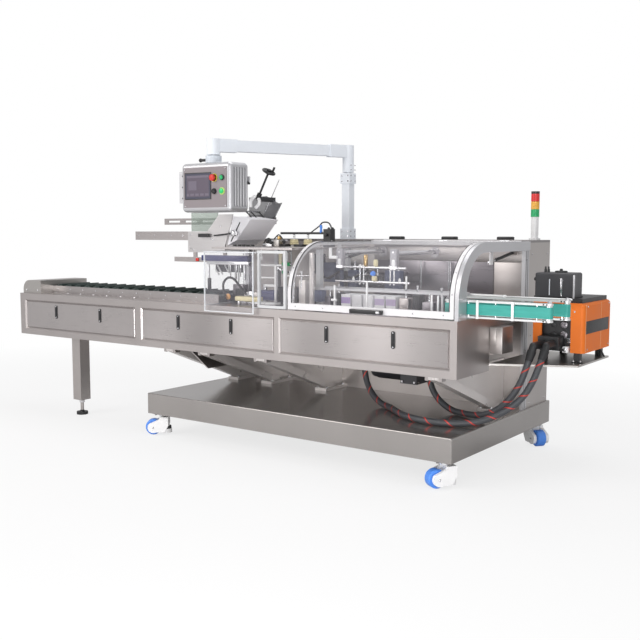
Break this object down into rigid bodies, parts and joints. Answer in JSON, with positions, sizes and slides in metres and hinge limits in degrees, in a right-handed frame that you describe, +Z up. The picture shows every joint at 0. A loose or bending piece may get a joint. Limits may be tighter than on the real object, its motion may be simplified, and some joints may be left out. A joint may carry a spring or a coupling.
{
  "type": "horizontal cartoning machine",
  "caption": "Horizontal cartoning machine: infeed chain, carton magazine, hinged clear hood, glue unit, belt discharge and swinging operator panel on a caster plinth.",
  "frame": {"origin": "on the floor under the middle of the overall length and depth", "axes": "+X from the infeed to the discharge, +Y from the operator's side to the rear cabinet, +Z up"},
  "size_m": [4.0699, 1.3294, 1.885],
  "materials": {
    "stainless": "brushed",
    "aluminium": "satin",
    "chrome": "polished",
    "black_plastic": "matt",
    "black_rubber": "matt",
    "dark_chain": "matt",
    "acrylic": "clear",
    "black_paint": "satin",
    "dark_grey_paint": "satin",
    "orange_paint": "satin",
    "white_paint": "satin",
    "blue_grey_paint": "powder coat",
    "green_belt": "matt",
    "carton_board": "matt board",
    "signal_lens": "coloured lens",
    "button_plastic": "coloured",
    "caster_blue": "satin",
    "caster_white": "satin"
  },
  "bodies": {
    "machine": {"access_panels": "stainless", "bucket_chain": "dark_chain", "cabinet_roof": "stainless", "carton_rails": "aluminium", "carton_row": "carton_board", "carton_stack": "carton_board", "chain_side_plates": "stainless", "corner_strip": "aluminium", "discharge_bars": "aluminium", "discharge_belts": "green_belt", "drive_motor": "dark_grey_paint", "end_arch": "stainless", "front_beam": "stainless", "glue_core": "black_paint", "glue_cover": "orange_paint", "glue_shelf": "stainless", "glue_tank": "dark_grey_paint", "guard_box": "acrylic", "guard_frames": "aluminium", "hold_down_bars": "chrome", "hose_front": "black_rubber", "hose_rear": "black_rubber", "infeed_beam": "stainless", "infeed_cap": "stainless", "infeed_leg": "stainless", "machine_bed": "stainless", "magazine_plates": "stainless", "magazine_rails": "stainless", "magazine_windows": "acrylic", "panel_latches": "black_plastic", "panel_post": "blue_grey_paint", "plinth": "stainless", "rear_cabinet": "stainless", "rear_doors": "stainless", "signal_light": "signal_lens", "spring_mounts": "stainless", "suction_bar": "black_paint", "support_brackets": "white_paint", "support_ribs": "stainless", "upper_deck": "stainless"},
    "hood": {"hood_frame": "aluminium", "hood_glazing": "acrylic", "hood_handle": "black_plastic"},
    "gas_spring_cylinder": {"spring_cylinders": "black_paint"},
    "gas_spring_rod": {"spring_rods": "chrome"},
    "arm": {"swing_arm": "blue_grey_paint"},
    "operator_panel": {"operator_box": "aluminium", "operator_buttons": "button_plastic", "operator_face": "dark_grey_paint", "panel_coupling": "blue_grey_paint"},
    "magazine_handwheel": {"handwheel": "black_plastic"},
    "caster_front_left": {"caster_housing_front_left": "caster_white"},
    "wheel_front_left": {"caster_wheel_front_left": "caster_blue"},
    "caster_front_right": {"caster_housing_front_right": "caster_white"},
    "wheel_front_right": {"caster_wheel_front_right": "caster_blue"},
    "caster_rear_left": {"caster_housing_rear_left": "caster_white"},
    "wheel_rear_left": {"caster_wheel_rear_left": "caster_blue"},
    "caster_rear_right": {"caster_housing_rear_right": "caster_white"},
    "wheel_rear_right": {"caster_wheel_rear_right": "caster_blue"}
  },
  "joints": [
    {"name": "hood_hinge", "type": "hinge", "parent": "machine", "child": "hood", "pos_m": [1.0115, 0.32275, 1.251], "axis": [-1, 0, 0], "range_deg": [0, 60]},
    {"name": "gas_spring_pivot", "type": "hinge", "parent": "machine", "child": "gas_spring_cylinder", "pos_m": [1.0115, 0.23475, 1.19], "axis": [-1, 0, 0], "range_deg": [0, 72]},
    {"name": "gas_spring_stroke", "type": "slide", "parent": "gas_spring_cylinder", "child": "gas_spring_rod", "axis": [0, -0.9872, -0.1592], "range_m": [0, 0.096]},
    {"name": "arm_swing", "type": "hinge", "parent": "machine", "child": "arm", "pos_m": [0.215, 0.44475, 1.7], "axis": [0, 0, 1], "range_deg": [-25, 25]},
    {"name": "panel_turn", "type": "hinge", "parent": "arm", "child": "operator_panel", "pos_m": [-0.217, -0.41125, 1.785], "axis": [0, 0, 1], "range_deg": [-60, 60]},
    {"name": "handwheel_turn", "type": "hinge", "parent": "machine", "child": "magazine_handwheel", "pos_m": [-0.068, -0.05125, 1.695], "axis": [0.4852, 0, 0.8744], "continuous": true},
    {"name": "caster_swivel_front_left", "type": "hinge", "parent": "machine", "child": "caster_front_left", "pos_m": [-0.553, -0.55925, 0.126], "axis": [0, 0, 1], "continuous": true},
    {"name": "wheel_spin_front_left", "type": "hinge", "parent": "caster_front_left", "child": "wheel_front_left", "pos_m": [-0.5987, -0.59496, 0.05], "axis": [0.6157, -0.788, 0], "continuous": true},
    {"name": "caster_swivel_front_right", "type": "hinge", "parent": "machine", "child": "caster_front_right", "pos_m": [1.512, -0.55925, 0.126], "axis": [0, 0, 1], "continuous": true},
    {"name": "wheel_spin_front_right", "type": "hinge", "parent": "caster_front_right", "child": "wheel_front_right", "pos_m": [1.47957, -0.60733, 0.05], "axis": [0.829, -0.5592, 0], "continuous": true},
    {"name": "caster_swivel_rear_left", "type": "hinge", "parent": "machine", "child": "caster_rear_left", "pos_m": [-0.553, 0.59675, 0.126], "axis": [0, 0, 1], "continuous": true},
    {"name": "wheel_spin_rear_left", "type": "hinge", "parent": "caster_rear_left", "child": "wheel_rear_left", "pos_m": [-0.6075, 0.57691, 0.05], "axis": [0.342, -0.9397, 0], "continuous": true},
    {"name": "caster_swivel_rear_right", "type": "hinge", "parent": "machine", "child": "caster_rear_right", "pos_m": [1.512, 0.59675, 0.126], "axis": [0, 0, 1], "continuous": true},
    {"name": "wheel_spin_rear_right", "type": "hinge", "parent": "caster_rear_right", "child": "wheel_rear_right", "pos_m": [1.55707, 0.56025, 0.05], "axis": [0.6293, 0.7771, 0], "continuous": true}
  ],
  "couplings": [
    {"joint": "gas_spring_pivot", "follows": "hood_hinge", "ratio": 1.143},
    {"joint": "gas_spring_stroke", "follows": "hood_hinge", "m_per_rad": 0.0886}
  ]
}
